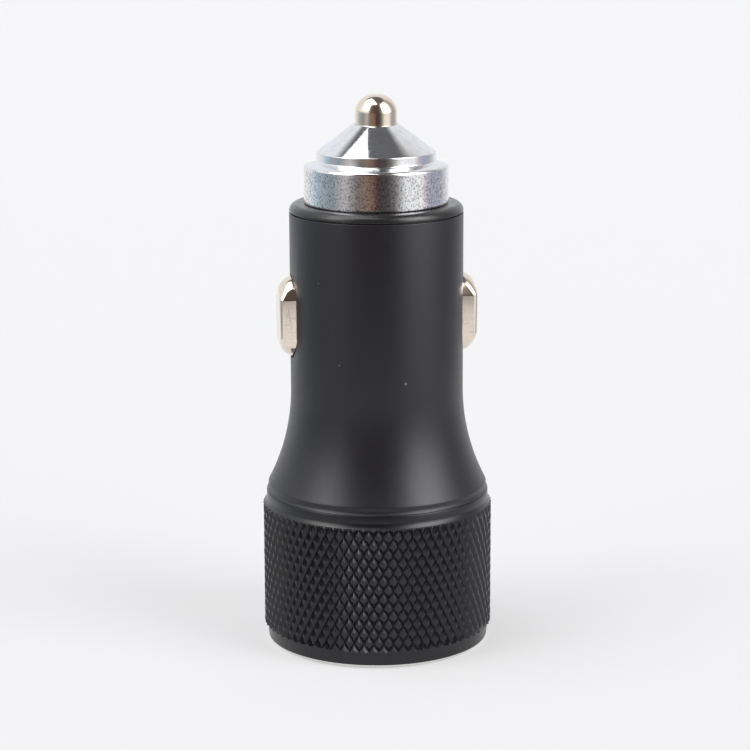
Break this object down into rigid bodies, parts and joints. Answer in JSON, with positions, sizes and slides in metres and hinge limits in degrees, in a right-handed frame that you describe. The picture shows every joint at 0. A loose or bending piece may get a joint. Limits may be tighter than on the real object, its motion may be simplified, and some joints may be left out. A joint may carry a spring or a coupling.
{
  "type": "car usb charger plug",
  "caption": "Plug that stands in a vehicle power socket and charges devices: flared black metal barrel, knurled grip, chrome nose, sprung pin and side contacts, USB-A ports.",
  "frame": {"origin": "centre of the flat rim that the plug stands on, at the USB end", "axes": "+Z along the plug's axis, from the USB face to the centre pin's tip; X through the two side contacts; Y across the two USB ports"},
  "size_m": [0.0278, 0.0278, 0.0664],
  "materials": {
    "anodised_barrel": "matte black anodised, fine turning grain",
    "anodised_grip": "satin black anodised over the knurl, bright cut bottom edge",
    "collar_plastic": "black, satin",
    "nose_chrome": "bright plate, slightly pitted",
    "contact_nickel": "nickel plate, warm and bright",
    "spring_steel": "bright drawn wire",
    "terminal_brass": "turned",
    "face_plastic": "black moulded, fine satin",
    "clear_lens": "clear moulded light pipe",
    "led_package": "pale package",
    "port_steel": "nickel plated sheet",
    "tongue_plastic": "black moulded",
    "gold_contacts": "gold flash plate",
    "circuit_board": "green solder mask",
    "carrier_plastic": "dark moulded",
    "ferrite": "dark sintered ferrite",
    "copper_wire": "enamelled copper winding",
    "capacitor_sleeve": "dark sleeve on an aluminium can",
    "chip_plastic": "black moulded package",
    "fuse_body": "pale ceramic"
  },
  "bodies": {
    "root": {"barrel": "anodised_barrel", "grip_ring": "anodised_grip", "insulator_collar": "collar_plastic", "nose_cap": "nose_chrome", "pin_spring": "spring_steel", "spring_terminal": "terminal_brass", "face_plate": "face_plastic", "indicator_lens": "clear_lens", "indicator_led": "led_package", "usb_shell_front": "port_steel", "usb_shell_back": "port_steel", "usb_tongue_front": "tongue_plastic", "usb_tongue_back": "tongue_plastic", "usb_contacts_front": "gold_contacts", "usb_contacts_back": "gold_contacts", "usb_board": "circuit_board", "main_board": "circuit_board", "board_link_pins": "gold_contacts", "carrier_front": "carrier_plastic", "carrier_back": "carrier_plastic", "inductor_core": "ferrite", "inductor_winding": "copper_wire", "input_capacitor": "capacitor_sleeve", "output_capacitor": "capacitor_sleeve", "controller_chip": "chip_plastic", "rectifier_diode": "chip_plastic", "input_fuse": "fuse_body"},
    "centre_pin": {"centre_pin": "contact_nickel"},
    "side_contact_left": {"side_contact_left": "contact_nickel"},
    "side_contact_right": {"side_contact_right": "contact_nickel"}
  },
  "joints": [
    {"name": "pin_slide", "type": "slide", "parent": "root", "child": "centre_pin", "axis": [0, 0, -1], "range_m": [0, 0.0028], "stiffness_N_per_m": 1500, "springref_m": -0.0012, "deforming": ["pin_spring"]},
    {"name": "contact_swing_left", "type": "hinge", "parent": "root", "child": "side_contact_left", "pos_m": [-0.00796, 0, 0.0233], "axis": [0, 1, 0], "range_deg": [0, 5.8], "stiffness_Nm_per_rad": 0.4, "springref_deg": -2.86},
    {"name": "contact_swing_right", "type": "hinge", "parent": "root", "child": "side_contact_right", "pos_m": [0.00796, 0, 0.0233], "axis": [0, -1, 0], "range_deg": [0, 5.8], "stiffness_Nm_per_rad": 0.4, "springref_deg": -2.86}
  ]
}
